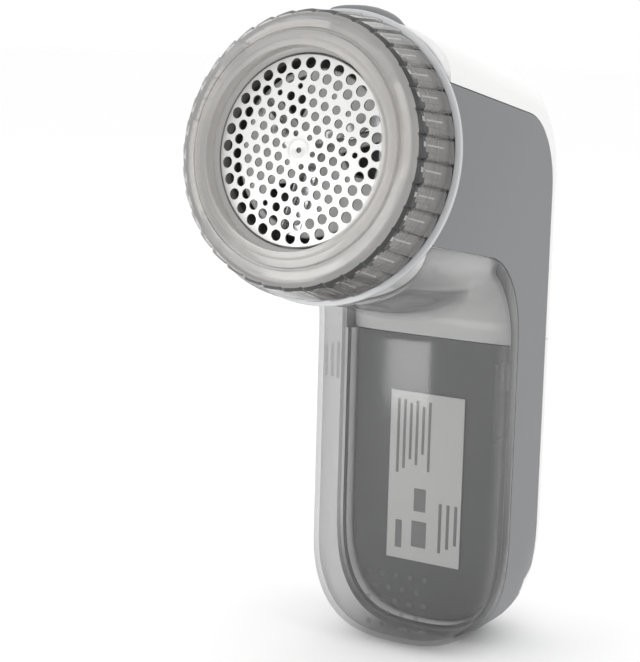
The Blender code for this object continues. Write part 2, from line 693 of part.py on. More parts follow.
def add_screws():
    """Self-tapping screws that go in under the battery cover and hold the tray to the shells."""
    screw = [(0, -20.9), (2.3, -20.6), (2.3, -19.3), (1.1, -19.1), (1.1, -8.0), (0, -7.0)]
    boss = [(1.4, -18.8), (3.4, -18.8), (3.4, -5.6), (0, -5.6), (0, -6.7), (1.4, -6.7)]
    for k, (x, z) in enumerate(((-20.5, 34), (20.5, 34), (-20.5, 80), (20.5, 80))):
        place = Matrix.Translation(Vector((x, 0, z)) * MM) @ Matrix.Rotation(math.pi / 2, 4, "X")
        turned("shell_screw_%d" % (k + 1), screw, "spring_steel", place, 10)
        post = turned("cut_boss_%d" % (k + 1), boss, None, place, 12)
        join(bpy.data.objects["battery_tray"], as_cutter(post))


def main():
    clear_scene()
    head = head_matrix()
    make_shells(head)
    make_bin()
    make_head(head)
    make_rotor(head)
    make_switch(head)
    make_power(head)
    add_screws()
    for item in bpy.data.objects:
        item.matrix_world = Matrix.Translation(Vector((0, ORIGIN_SHIFT, 0)) * MM) @ item.matrix_world


main()
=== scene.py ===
"""Battery fabric shaver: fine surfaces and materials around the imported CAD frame."""
import math

import bmesh
import bpy
from mathutils import Matrix, Vector


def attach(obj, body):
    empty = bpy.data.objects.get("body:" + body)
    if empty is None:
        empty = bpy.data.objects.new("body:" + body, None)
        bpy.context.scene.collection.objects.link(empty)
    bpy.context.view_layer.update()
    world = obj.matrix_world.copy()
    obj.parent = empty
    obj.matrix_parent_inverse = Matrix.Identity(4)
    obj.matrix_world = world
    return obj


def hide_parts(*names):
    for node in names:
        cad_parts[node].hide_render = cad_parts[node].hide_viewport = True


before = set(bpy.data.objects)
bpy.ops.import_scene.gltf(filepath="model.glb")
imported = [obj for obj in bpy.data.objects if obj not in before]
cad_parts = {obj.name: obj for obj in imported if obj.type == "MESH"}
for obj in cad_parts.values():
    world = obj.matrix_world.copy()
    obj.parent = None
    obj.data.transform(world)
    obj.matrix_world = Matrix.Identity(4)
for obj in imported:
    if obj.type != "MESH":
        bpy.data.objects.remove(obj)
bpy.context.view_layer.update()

MM = 0.001
GAP = 0.3
ROW_SHIFT = 22.86  # from this script's y to the frame's y

# ---- sizes that repeat the CAD model's, in millimetres ----
HEAD_TILT = math.radians(10)
HEAD_Y = -67.9
HEAD_Z = 147.3
COLLAR_FRONT = -13.2
COLLAR_BACK = -14.6
BODY_FRONT = COLLAR_BACK - GAP
COLLAR_R = 39.0
CROWN_U = 37.2
BELLY_U = -38.5
PANEL_TOP_U = 21.0
PANEL_LOW_U = -20.5
SPACER_FRONT_R = 36.2
SPACER_R = 38.2
SPACER_TEETH = 36
FOIL_R = 24.6
FOIL_DOME = 1.2
FOIL_THICK = 0.5
HOLES_IN_ROW = 32
HOLE_PITCH = 3.6
HOLE_RINGS = 5
SIDE_X = 28.0
SIDE_DRAFT = 0.0633
SIDE_BASE_Y = 24.0
BACK_EDGE_Y = 23.3
BACK_Y = 31.5
BIN_Y = -18.8
BIN_ROUND = 13.2
BIN_POWER = 2.6
SEAM_Y = 2.8
ARMPIT_R = 26.0
BOTTOM_H = 35.5
SHELL = 2.2
WHITE_WALL = 1.8
BIN_WALL = 1.5
LINER = 0.8
PANEL_SKIN = 1.5
HOUSING_Z = 89.5
COVER_LOW_Z = 12.5
COVER_HALF = 26.5
DOT_X = 3.5
DOT_RINGS = ((0.85, -0.1), (0.75, 0.18), (0.45, 0.36))
DOT_SIDES = 10
TRAY_Y = 5.0
TRAY_HALF = 25.5
TRAY_POWER = 2.7
NECK_Y = 4.8
NECK_BELLY_U = -31.5
KNOB_FOOT_U = 30.0
BLADES = 3
BLADE_PHASE = 18
LIT_POINT = Vector((0, 0, 0.1))
FAR = 60.0  # half the size of a cutting tool that reaches past the object
TILT_SIN = math.sin(HEAD_TILT)
TILT_COS = math.cos(HEAD_TILT)
LOFT_RINGS = 18
ARC_FINENESS = 3
ROW = Matrix.Translation(Vector((0, ROW_SHIFT, 0)) * MM)


def head_matrix():
    across = Vector((1, 0, 0))
    up = Vector((0, TILT_SIN, TILT_COS))
    out = Vector((0, -TILT_COS, TILT_SIN))
    turn = Matrix((across, up, out)).transposed().to_4x4()
    return ROW @ Matrix.Translation(Vector((0, HEAD_Y, HEAD_Z)) * MM) @ turn


HEAD = head_matrix()


def head_point(along, up):
    """(y, z) of a point given along the head's axis and up across it."""
    return HEAD_Y - along * TILT_COS + up * TILT_SIN, HEAD_Z + along * TILT_SIN + up * TILT_COS


def z_on_line(up, y):
    """Height at y of the line that runs along the head at a distance up from its axis."""
    along = (HEAD_Y + up * TILT_SIN - y) / TILT_COS
    return HEAD_Z + along * TILT_SIN + up * TILT_COS


def half_width(y, inset):
    """Distance of the side plane from the middle at y, less inset."""
    return SIDE_X + SIDE_DRAFT * (SIDE_BASE_Y - y) - inset


# ---- materials ----
def tree(name):
    made = bpy.data.materials.new(name)
    made.use_nodes = True
    nodes = made.node_tree.nodes
    shader = nodes["Principled BSDF"]
    return made, nodes, made.node_tree.links, shader


def noise(nodes, links, scale, detail=4.0):
    where = nodes.new("ShaderNodeTexCoord")
    grain = nodes.new("ShaderNodeTexNoise")
    grain.inputs["Scale"].default_value = scale
    grain.inputs["Detail"].default_value = detail
    links.new(where.outputs["Object"], grain.inputs["Vector"])
    return grain


def ranged(nodes, links, socket, low, high):
    span = nodes.new("ShaderNodeMapRange")
    span.inputs["To Min"].default_value = low
    span.inputs["To Max"].default_value = high
    links.new(socket, span.inputs["Value"])
    return span.outputs["Result"]


def tint(nodes, links, socket, first, second):
    mix = nodes.new("ShaderNodeMix")
    mix.data_type = "RGBA"
    mix.inputs["A"].default_value = (*first, 1.0)
    mix.inputs["B"].default_value = (*second, 1.0)
    links.new(socket, mix.inputs["Factor"])
    return mix.outputs["Result"]


def bumped(nodes, links, shader, height, strength, distance):
    bump = nodes.new("ShaderNodeBump")
    bump.inputs["Strength"].default_value = strength
    bump.inputs["Distance"].default_value = distance
    links.new(height, bump.inputs["Height"])
    links.new(bump.outputs["Normal"], shader.inputs["Normal"])


def plastic(name, colour, rough, grain=900.0, depth=0.25, vary=0.05, coat=0.0):
    """Moulded plastic: a faint mottling of colour, a fine spark texture, uneven gloss."""
    made, nodes, links, shader = tree(name)
    broad = noise(nodes, links, 35.0)
    fine = noise(nodes, links, grain, 6.0)
    darker = tuple(c * (1 - vary) for c in colour)
    lighter = tuple(min(1.0, c * (1 + vary)) for c in colour)
    links.new(tint(nodes, links, broad.outputs["Fac"], darker, lighter), shader.inputs["Base Color"])
    uneven = ranged(nodes, links, broad.outputs["Fac"], rough * 0.85, rough * 1.2)
    links.new(uneven, shader.inputs["Roughness"])
    bumped(nodes, links, shader, fine.outputs["Fac"], depth, 0.00003)
    shader.inputs["Coat Weight"].default_value = coat
    shader.inputs["Coat Roughness"].default_value = 0.12
    return made


def metal(name, colour, rough, spin=False):
    """Bare metal with fine grinding lines, along X or, with spin, round Z."""
    made, nodes, links, shader = tree(name)
    where = nodes.new("ShaderNodeTexCoord")
    lines = nodes.new("ShaderNodeTexNoise")
    stretch = nodes.new("ShaderNodeMapping")
    stretch.inputs["Scale"].default_value = (400.0, 400.0, 9000.0) if spin else (6000.0, 300.0, 300.0)
    lines.inputs["Scale"].default_value = 1.0
    lines.inputs["Detail"].default_value = 3.0
    links.new(where.outputs["Object"], stretch.inputs["Vector"])
    links.new(stretch.outputs["Vector"], lines.inputs["Vector"])
    darker = tuple(c * 0.86 for c in colour)
    links.new(tint(nodes, links, lines.outputs["Fac"], darker, colour), shader.inputs["Base Color"])
    uneven = ranged(nodes, links, lines.outputs["Fac"], rough * 0.8, rough * 1.3)
    links.new(uneven, shader.inputs["Roughness"])
    bumped(nodes, links, shader, lines.outputs["Fac"], 0.15, 0.00002)
    shader.inputs["Metallic"].default_value = 1.0
    return made


def smoky(name, clear, edge, body, haze, rough=0.05):
    """Clear tinted plastic: light passes, walls seen at a slant are denser, the skin is glossy."""
    made, nodes, links, shader = tree(name)
    finish = nodes["Material Output"]
    facing = nodes.new("ShaderNodeLayerWeight")
    facing.inputs["Blend"].default_value = 0.35
    cloud = noise(nodes, links, 60.0)
    passing = nodes.new("ShaderNodeBsdfTransparent")
    dense = nodes.new("ShaderNodeMath")
    dense.operation = "POWER"
    dense.inputs[1].default_value = 2.5
    links.new(facing.outputs["Facing"], dense.inputs[0])
    links.new(tint(nodes, links, dense.outputs["Value"], clear, edge), passing.inputs["Color"])
    shader.inputs["Base Color"].default_value = (*body, 1.0)
    links.new(ranged(nodes, links, cloud.outputs["Fac"], 0.35, 0.5), shader.inputs["Roughness"])
    inner = nodes.new("ShaderNodeMixShader")
    links.new(ranged(nodes, links, cloud.outputs["Fac"], haze * 0.8, haze * 1.2), inner.inputs["Fac"])
    links.new(passing.outputs["BSDF"], inner.inputs[1])
    links.new(shader.outputs["BSDF"], inner.inputs[2])
    gloss = nodes.new("ShaderNodeBsdfAnisotropic")
    gloss.inputs["Color"].default_value = (1, 1, 1, 1)
    gloss.inputs["Roughness"].default_value = rough
    slant = nodes.new("ShaderNodeLayerWeight")
    slant.inputs["Blend"].default_value = 0.5
    grazing = nodes.new("ShaderNodeMath")
    grazing.operation = "POWER"
    grazing.inputs[1].default_value = 4.0
    links.new(slant.outputs["Facing"], grazing.inputs[0])
    outer = nodes.new("ShaderNodeMixShader")
    links.new(ranged(nodes, links, grazing.outputs["Value"], 0.03, 0.6), outer.inputs["Fac"])
    links.new(inner.outputs["Shader"], outer.inputs[1])
    links.new(gloss.outputs["BSDF"], outer.inputs[2])
    links.new(outer.outputs["Shader"], finish.inputs["Surface"])
    return made


def land(name, low, high):
    """The front land of a shell: a painted highlight, darker at the foot, lighter from there up."""
    made, nodes, links, shader = tree(name)
    place = nodes.new("ShaderNodeTexCoord")
    split = nodes.new("ShaderNodeSeparateXYZ")
    links.new(place.outputs["Object"], split.inputs["Vector"])
    height = nodes.new("ShaderNodeMapRange")
    height.inputs["From Min"].default_value = 8 * MM
    height.inputs["From Max"].default_value = 34 * MM
    links.new(split.outputs["Z"], height.inputs["Value"])
    links.new(tint(nodes, links, height.outputs["Result"], low, high), shader.inputs["Base Color"])
    cloud = noise(nodes, links, 1200.0)
    links.new(ranged(nodes, links, cloud.outputs["Fac"], 0.25, 0.35), shader.inputs["Roughness"])
    bumped(nodes, links, shader, cloud.outputs["Fac"], 0.1, 0.0001)
    return made


WHITE = plastic("white_gloss", (0.79, 0.79, 0.785), 0.22, 1200.0, 0.12, 0.015, 0.35)
CHAMBER = plastic("chamber_grey", (0.13, 0.128, 0.125), 0.4, 1500.0, 0.2, 0.05)
GREY = plastic("grey_satin", (0.158, 0.162, 0.169), 0.36, 1500.0, 0.3, 0.04)
TRAY_GREY = plastic("tray_grey", (0.06, 0.061, 0.063), 0.42, 1500.0, 0.1, 0.05)
DARK = plastic("dark_satin", (0.03, 0.03, 0.032), 0.45, 1200.0, 0.3, 0.1)
KNOB_GREY = plastic("knob_grey", (0.17, 0.175, 0.178), 0.45, 1500.0, 0.35, 0.05)
# Painted highlight for the left shell's front land: light above, darker towards the foot.
LEFT_LAND_HIGHLIGHT = land("shell_land_painted_light", (0.12, 0.122, 0.125), (0.79, 0.79, 0.785))
SILVER = plastic("collar_silver_skin", (0.5, 0.51, 0.52), 0.25, 1500.0, 0.1, 0.03, 0.4)
ROTOR_WHITE = plastic("rotor_white", (0.72, 0.72, 0.71), 0.35, 1200.0, 0.15, 0.03)
RETAINER = plastic("retainer_grey", (0.36, 0.355, 0.35), 0.3, 1500.0, 0.15, 0.04)
FOIL = metal("foil_steel", (0.52, 0.52, 0.51), 0.46, True)
BLADE = metal("blade_ground_steel", (0.55, 0.55, 0.55), 0.25)
STEEL = metal("plated_steel", (0.5, 0.5, 0.5), 0.32)
CAN = metal("can_steel", (0.42, 0.43, 0.44), 0.4)
COPPER = metal("winding", (0.62, 0.36, 0.18), 0.35, True)
BIN = smoky("bin_smoke", (0.87, 0.87, 0.87), (0.36, 0.36, 0.36), (0.4, 0.4, 0.4), 0.04, 0.13)
RING = smoky("ring_smoke", (0.91, 0.9, 0.89), (0.36, 0.36, 0.36), (0.58, 0.57, 0.56), 0.17, 0.06)
RING_FACE = smoky("ring_face_smoke", (0.86, 0.85, 0.84), (0.5, 0.49, 0.48), (0.72, 0.7, 0.68), 0.34, 0.12)
# Painted shade: a black strip along the bin's right wall.
BIN_RIM_SHADE = plastic("bin_rim_painted_shade", (0.012, 0.012, 0.012), 0.85, 900.0, 0.1, 0.1)
BIN_EDGE = smoky("bin_edge_smoke", (0.8, 0.8, 0.8), (0.4, 0.4, 0.4), (0.3, 0.3, 0.3), 0.08, 0.1)
RING_DARK = smoky("ring_dark_smoke", (0.6, 0.59, 0.58), (0.3, 0.3, 0.3), (0.3, 0.3, 0.3), 0.3, 0.1)
# Painted shade: the dark lines and edge rings in the clear ring.
RING_SHADE_LINE = smoky("ring_shade_line_smoke", (0.06, 0.055, 0.05), (0.03, 0.03, 0.03), (0.006, 0.006, 0.006),
                  0.83, 0.2)
# Painted highlights: the glints on the grip and front edge use this.
RING_LIGHT = smoky("ring_light_smoke", (0.9, 0.89, 0.88), (0.7, 0.7, 0.7), (0.8, 0.79, 0.78), 0.35, 0.1)
LABEL = plastic("label_film", (0.66, 0.66, 0.65), 0.4, 400.0, 0.1, 0.03)
PRINT = plastic("label_print", (0.17, 0.17, 0.17), 0.5, 400.0, 0.1, 0.03)
WRAP = plastic("cell_wrap_skin", (0.05, 0.16, 0.07), 0.3, 500.0, 0.05, 0.05, 0.4)
BOARD = plastic("board_skin", (0.02, 0.12, 0.05), 0.4, 500.0, 0.2, 0.2)
RED = plastic("wire_red_skin", (0.45, 0.02, 0.02), 0.4, 900.0, 0.2, 0.05)
BLACK = plastic("wire_black_skin", (0.015, 0.015, 0.015), 0.4, 900.0, 0.2, 0.2)

FINISH = (
    (WHITE, "main_housing handle_liner battery_cover"),
    (GREY, "side_shell_left side_shell_right"),
    (TRAY_GREY, "battery_tray"),
    (BIN, "lint_bin"),
    (SILVER, "head_collar"),
    (CHAMBER, "cutter_housing"),
    (RING, "spacer_ring"),
    (FOIL, "foil"),
    (RETAINER, "foil_retainer"),
    (ROTOR_WHITE, "blade_carrier blade_cap"),
    (BLADE, "blade_1 blade_2 blade_3"),
    (DARK, "drive_coupling motor_end_cap slide_switch safety_plunger safety_switch"),
    (STEEL, "motor_shaft motor_screw_1 motor_screw_2 battery_spring_1 battery_spring_2 contact_bottom"),
    (STEEL, "contact_top_1 contact_top_2 shell_screw_1 shell_screw_2 shell_screw_3 shell_screw_4"),
    (CAN, "motor_can"),
    (COPPER, "motor_armature"),
    (KNOB_GREY, "switch_knob"),
    (BOARD, "circuit_board"),
    (WRAP, "battery_1 battery_2"),
    (RED, "battery_wire_red motor_wire_red"),
    (BLACK, "battery_wire_black motor_wire_black"),
    (LABEL, "rating_label"),
)
for look, names in FINISH:
    for node in names.split():
        for place in bpy.data.objects[node].material_slots:
            place.material = look


# ---- making meshes ----
def add_mesh(name, verts, faces, look=None, place=ROW, sharp=35):
    mesh = bpy.data.meshes.new(name)
    mesh.from_pydata([Vector(v) * MM for v in verts], [], faces)
    shape = bmesh.new()
    shape.from_mesh(mesh)
    bmesh.ops.recalc_face_normals(shape, faces=shape.faces)
    shape.to_mesh(mesh)
    shape.free()
    if look:
        mesh.materials.append(look)
    mesh.shade_smooth()
    mesh.set_sharp_from_angle(angle=math.radians(sharp))
    made = bpy.data.objects.new(name, mesh)
    bpy.context.scene.collection.objects.link(made)
    made.matrix_world = place
    return made


def boolean(target, tool, operation="DIFFERENCE"):
    step = target.modifiers.new(tool.name, "BOOLEAN")
    step.operation = operation
    step.object = tool
    step.solver = "EXACT"


def settle(target, look, edge=0.0, sharp=32, segments=2):
    """Apply the booleans, round the edges that they left, and give back the tools."""
    if edge:
        soft = target.modifiers.new("edges", "BEVEL")
        soft.width = edge * MM
        soft.segments = segments
        soft.limit_method = "ANGLE"
        soft.angle_limit = math.radians(40)
        soft.miter_outer = "MITER_ARC"
    graph = bpy.context.evaluated_depsgraph_get()
    mesh = bpy.data.meshes.new_from_object(target.evaluated_get(graph))
    tools = [step.object for step in target.modifiers if step.type == "BOOLEAN"]
    target.modifiers.clear()
    target.data = mesh
    mesh.materials.clear()
    mesh.materials.append(look)
    for face in mesh.polygons:
        face.material_index = 0
    mesh.shade_smooth()
    mesh.set_sharp_from_angle(angle=math.radians(sharp))
    return tools


def drop(tools):
    for tool in tools:
        bpy.data.objects.remove(tool, do_unlink=True)


def slab(name, low, high, place=ROW):
    verts = [(x, y, z) for x in (low[0], high[0]) for y in (low[1], high[1]) for z in (low[2], high[2])]
    faces = [(0, 1, 3, 2), (4, 6, 7, 5), (0, 4, 5, 1), (2, 3, 7, 6), (0, 2, 6, 4), (1, 5, 7, 3)]
    return add_mesh(name, verts, faces, None, place)


def prism(name, outline, low, high, look=None, place=ROW, axis=2):
    count = len(outline)
    verts = []
    for level in (low, high):
        for a, b in outline:
            verts.append((level, a, b) if axis == 0 else (a, b, level))
    faces = [list(range(count)), list(range(count, 2 * count))]
    faces += [(k, (k + 1) % count, count + (k + 1) % count, count + k) for k in range(count)]
    return add_mesh(name, verts, faces, look, place)


def turned(name, profile, look, place=HEAD, steps=128, shape_r=None, sharp=35):
    """A closed outline of (radius, z) turned about local Z; shape_r(index, r, angle) changes the radius."""
    rows = []
    verts = []
    for i, (r, z) in enumerate(profile):
        count = 1 if r < 1e-6 else steps
        start = len(verts)
        for k in range(count):
            angle = 2 * math.pi * k / steps
            here = shape_r(i, r, angle) if shape_r else r
            verts.append((here * math.cos(angle), here * math.sin(angle), z))
        rows.append(list(range(start, start + count)))
    faces = []
    for i, row in enumerate(rows):
        follower = rows[(i + 1) % len(rows)]
        if len(row) == 1 and len(follower) == 1:
            continue
        for k in range(steps):
            after = (k + 1) % steps
            corners = [row[k % len(row)], row[after % len(row)], follower[after % len(follower)],
                       follower[k % len(follower)]]
            faces.append(list(dict.fromkeys(corners)))
    return add_mesh(name, verts, faces, look, place, sharp)


def eased(points, radius, steps=3):
    """The outline with every corner rounded a little."""
    made = []
    count = len(points)
    for i, here in enumerate(points):
        here = Vector(here)
        before = Vector(points[i - 1]) - here
        after = Vector(points[(i + 1) % count]) - here
        reach = min(radius, before.length * 0.45, after.length * 0.45)
        if here.x < 1e-6 or reach < 0.02:
            made.append(tuple(here))
            continue
        start = here + before.normalized() * reach
        end = here + after.normalized() * reach
        for k in range(steps + 1):
            t = k / steps
            made.append(tuple(start * (1 - t) ** 2 + here * 2 * t * (1 - t) + end * t * t))
    return made


def rounded(corners):
    """The outline of (y, z, radius, segments) corners, with an arc at each one that has segments."""
    points = []
    count = len(corners)
    for i, (y, z, radius, segments) in enumerate(corners):
        here = Vector((y, z))
        if not segments:
            points.append((y, z))
            continue
        before = (Vector(corners[i - 1][:2]) - here).normalized()
        after = (Vector(corners[(i + 1) % count][:2]) - here).normalized()
        half = before.angle(after) / 2
        centre = here + (before + after).normalized() * radius / math.sin(half)
        start = here + before * radius / math.tan(half) - centre
        sweep = start.angle_signed(here + after * radius / math.tan(half) - centre)
        steps = segments * ARC_FINENESS
        for k in range(steps + 1):
            turn = -sweep * k / steps
            spoke = Vector((start.x * math.cos(turn) - start.y * math.sin(turn),
                            start.x * math.sin(turn) + start.y * math.cos(turn)))
            points.append(tuple(centre + spoke))
    return points


def spread(corners, values):
    """A value for each point that rounded() makes: a corner's arc blends one edge's value into the next."""
    made = []
    for i, corner in enumerate(corners):
        before, after = values[i - 1], values[i]
        steps = corner[3] * ARC_FINENESS
        if not steps:
            made.append(after if i == 0 else before)
            continue
        made += [before + (after - before) * k / steps for k in range(steps + 1)]
    return made


def loft_across(name, centre, sides, powers, insets):
    """A body from one side to the other: its outline goes from sides to centre on superellipses."""
    count = len(centre)
    verts = []
    for j in range(-LOFT_RINGS, LOFT_RINGS + 1):
        angle = abs(j) / LOFT_RINGS * math.pi / 2
        sign = -1 if j < 0 else 1
        for (cy, cz), (sy, sz), power, inset in zip(centre, sides, powers, insets):
            swell = math.cos(angle) ** (2 / power) if abs(j) < LOFT_RINGS else 0.0
            y = sy + (cy - sy) * swell
            x = sign * half_width(sy, inset) * math.sin(angle) ** (2 / power)
            verts.append((x, y, sz + (cz - sz) * swell))
    faces = [list(range(count)), list(range(2 * LOFT_RINGS * count, (2 * LOFT_RINGS + 1) * count))]
    for j in range(2 * LOFT_RINGS):
        for k in range(count):
            after = (k + 1) % count
            faces.append((j * count + k, j * count + after, (j + 1) * count + after, (j + 1) * count + k))
    return add_mesh(name, verts, faces)


def outer_shape(name, inset, side_inset):
    front = BODY_FRONT if inset == 0 else BODY_FRONT + 8
    crown = CROWN_U - inset
    belly = BELLY_U + inset
    back = BACK_Y - inset
    low = inset
    bin_front = BIN_Y + inset
    side_back = BACK_EDGE_Y - inset * 0.3
    side_front = BIN_Y + BIN_ROUND
    centre = [
        (*head_point(front, crown), 0, 0),
        (back, z_on_line(crown, back), 28 - inset, 6),
        (back, low, 16 - inset, 4),
        (bin_front, low, 12 - inset, 4),
        (bin_front, z_on_line(belly, bin_front), 10 + inset, 4),
        (*head_point(front, belly), 0, 0),
    ]
    sides = [
        (*head_point(front, PANEL_TOP_U), 0, 0),
        (side_back, z_on_line(PANEL_TOP_U, side_back), 23, 6),
        (side_back, BOTTOM_H, 10, 4),
        (side_front, BOTTOM_H, 6, 4),
        (side_front, z_on_line(-PANEL_TOP_U, side_front), 24, 4),
        (*head_point(front, -PANEL_TOP_U), 0, 0),
    ]
    powers = [2.2, 3.2, 2.85, 2.6, 2.2, 2.0]
    insets = [side_inset] * len(powers)
    return loft_across(name, rounded(centre), rounded(sides), spread(centre, powers), spread(centre, insets))


def parting_outline(shift):
    """(y, z) outline of everything in front of the seam between shells and bin, moved forward by shift."""
    low_u = PANEL_LOW_U - shift
    seam = SEAM_Y - shift
    start = head_point(BODY_FRONT + 12, low_u)
    return rounded([(*start, 0, 0), (seam, z_on_line(low_u, seam), ARMPIT_R, 8), (seam, -20, 0, 0),
                    (-120, -20, 0, 0), (-120, 100, 0, 0)])


def panel_outline(grow):
    """(y, z) outline of the grey side panels, without an end below and in front, widened by grow."""
    top = PANEL_TOP_U + grow
    back = BACK_EDGE_Y + grow
    return rounded([(*head_point(BODY_FRONT + 12, top), 0, 0), (back, z_on_line(top, back), 23 + grow, 6),
                    (back, -20, 0, 0), (-120, -20, 0, 0), (-120, 100, 0, 0)])


def housing_shape(name, inset, insets):
    opened = inset > 0
    front = BODY_FRONT + (8 if opened else 0)
    crown = CROWN_U - inset
    back = BACK_Y - inset
    floor = HOUSING_Z + GAP / 2 - (12 if opened else 0)
    neck = NECK_Y + inset
    belly = NECK_BELLY_U + inset
    side_low = PANEL_LOW_U + GAP / 2 + inset
    side_back = BACK_EDGE_Y - inset * 0.3
    centre = [
        (*head_point(front, crown), 0, 0),
        (back, z_on_line(crown, back), 28 - inset, 6),
        (back, floor, 0, 0),
        (neck, floor, 0, 0),
        (neck, z_on_line(belly, neck), 9 + inset, 4),
        (*head_point(front, belly), 0, 0),
    ]
    sides = [
        (*head_point(front, PANEL_TOP_U), 0, 0),
        (side_back, z_on_line(PANEL_TOP_U, side_back), 23, 6),
        (side_back, floor, 0, 0),
        (neck + 3, floor, 0, 0),
        (neck + 3, z_on_line(side_low, neck + 3), ARMPIT_R, 4),
        (*head_point(front, side_low), 0, 0),
    ]
    powers = [2.2, 3.2, 3.2, 4.0, 2.3, 2.0]
    return loft_across(name, rounded(centre), rounded(sides), spread(centre, powers), spread(centre, insets))


def draft_block(name, inset, low_z, high_z, low_y=-130.0, high_y=60.0):
    """A block between the two side planes."""
    verts = []
    for z in (low_z, high_z):
        for sign in (-1, 1):
            for y in (low_y, high_y):
                verts.append((sign * half_width(y, inset), y, z))
    faces = [(0, 1, 3, 2), (4, 6, 7, 5), (0, 2, 6, 4), (1, 5, 7, 3), (0, 4, 5, 1), (2, 3, 7, 6)]
    return add_mesh(name, verts, faces)


def claim(piece, body, slot, *nodes):
    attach(piece, body)
    if nodes:
        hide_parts(*nodes)


# ---- the shells ----
def make_side_shells():
    tools = [prism("t_front", parting_outline(-GAP / 2), -FAR, FAR, axis=0),
             outer_shape("t_hollow", SHELL, SHELL),
             draft_block("t_core", PANEL_SKIN, HOUSING_Z, 260),
             slab("t_window", (-COVER_HALF - GAP, 19, COVER_LOW_Z - GAP), (COVER_HALF + GAP, 60, 260)),
             slab("t_rear", (-FAR, -130, COVER_LOW_Z - GAP), (FAR, 90, 260))]
    area = prism("t_area", panel_outline(0), -70, 70, axis=0)
    boolean(tools[-1], area)
    # The left shell's front land is painted light, a painted highlight that grows lighter upward; the right
    # one keeps the panel grey.
    for side, low_x, high_x, front in (("left", -FAR, -GAP / 2, LEFT_LAND_HIGHLIGHT), ("right", GAP / 2, FAR, GREY)):
        shell = outer_shape("side_skin_" + side, 0, 0)
        half = slab("t_half", (low_x, -130, -20), (high_x, 60, 260))
        boolean(shell, half, "INTERSECT")
        for tool in tools:
            boolean(shell, tool)
        settle(shell, GREY, 0.35)
        drop([half])
        shell.data.materials.append(front)
        for face in shell.data.polygons:
            if face.normal.y < -0.7 and abs(face.center.y - SEAM_Y * MM) < 0.6 * MM:
                face.material_index = 1
        claim(shell, "handle", "grey_plastic", "side_shell_" + side)
    drop([*tools, area])


def make_housing():
    """The white housing, with a recess for each grey panel."""
    depth = PANEL_SKIN + GAP
    housing = housing_shape("housing_skin", 0, [0, 0] + [depth + 0.1] * 4)
    recess = prism("t_recess", panel_outline(GAP), -70, 70, axis=0)
    core = draft_block("t_recess_core", depth, -30, 260, -140, 90)
    boolean(recess, core)
    boolean(housing, recess)
    boolean(housing, housing_shape("t_inside", WHITE_WALL, [depth + WHITE_WALL] * 6))
    boolean(housing, slab("t_outlet", (-11, -45, -27.5), (11, -20, -16), HEAD))
    boolean(housing, slab("t_slot", (-2.2, 30, -33), (2.2, 50, -21), HEAD))
    drop([*settle(housing, WHITE, 0.3), core])
    claim(housing, "handle", "white_plastic", "main_housing")


def make_cover():
    cover = outer_shape("cover_skin", 0, 0)
    cover_top = HOUSING_Z - GAP / 2
    block = slab("t_block", (-COVER_HALF, 19.3, COVER_LOW_Z), (COVER_HALF, 60, cover_top))
    back = slab("t_back", (-40, BACK_EDGE_Y + GAP, COVER_LOW_Z), (40, 60, cover_top))
    boolean(block, back, "UNION")
    boolean(cover, block, "INTERSECT")
    boolean(cover, outer_shape("t_cover_hollow", 2.0, 3.0))
    drop([*settle(cover, WHITE, 0.3), back])
    claim(cover, "cover", "white_plastic", "battery_cover")


def make_bin():
    shell = outer_shape("bin_skin", 0, 0)
    boolean(shell, prism("t_behind", parting_outline(GAP / 2), -FAR, FAR, axis=0), "INTERSECT")
    boolean(shell, outer_shape("t_bin_hollow", BIN_WALL, BIN_WALL))
    drop(settle(shell, BIN, 0.3))
    claim(shell, "bin", "smoky_clear", "lint_bin")

    # a black strip just inside the right side wall's rim: painted shade for the dark edge of that wall
    rim = outer_shape("bin_rim", 0.3, 0.3)
    boolean(rim, prism("t_rim", parting_outline(0.5), -FAR, FAR, axis=0), "INTERSECT")
    boolean(rim, outer_shape("t_rim_hollow", 1.1, 1.1))
    boolean(rim, prism("t_rim_front", parting_outline(2.8), -70, 70, axis=0))
    boolean(rim, slab("t_rim_side", (14, -13, -20), (FAR, FAR, 260)), "INTERSECT")
    drop(settle(rim, BIN_RIM_SHADE))
    claim(rim, "bin", "smoky_clear")


def make_bin_ribs():
    """Grip ribs on the left inner wall."""
    x = -half_width(-7, BIN_WALL) + 0.1
    for k in range(3):
        y = -7.4 + 3.3 * k
        low = (x - 0.3, y, 76.5 - 1.0 * k)
        rib = slab("bin_grip_rib_%d" % (k + 1), low, (x + 0.55, y + 0.6, 85.5))
        drop(settle(rib, BIN, 0.25, segments=3))
        claim(rib, "bin", "smoky_clear")


def make_bin_latch():
    """A frame on the right inner wall, with a hook that catches the handle."""
    x = half_width(-8, BIN_WALL)
    tongue = slab("bin_latch", (x - 0.9, -8.2, 64.0), (x + 0.2, 1.9, 86.5))
    boolean(tongue, slab("t_tongue", (-FAR, -7.4, 65.0), (FAR, 1.1, 90)))
    boolean(tongue, outer_shape("t_within", 0.4, 0.4), "INTERSECT")
    drop(settle(tongue, BIN, 0.4, segments=3))
    claim(tongue, "bin", "smoky_clear")
    hook = slab("bin_latch_hook", (x - 1.8, -2.6, 78.0), (x + 0.2, 2.3, 86.0))
    boolean(hook, slab("t_hook", (x - 3, -1.4, 79.4), (x - 0.9, 5, 84.6)))
    drop(settle(hook, BIN_EDGE, 0.4, segments=3))
    claim(hook, "bin", "smoky_clear")


def dot_depth(x, z):
    """The y of the bin's inner face at its foot."""
    angle = math.asin(min(1.0, (abs(x) / 26.0) ** 1.3))
    y = BIN_Y + BIN_ROUND + (-BIN_ROUND + BIN_WALL) * math.cos(angle) ** (2 / BIN_POWER)
    if z < 12:
        y += (12 - z) ** 2 / 24
    return y


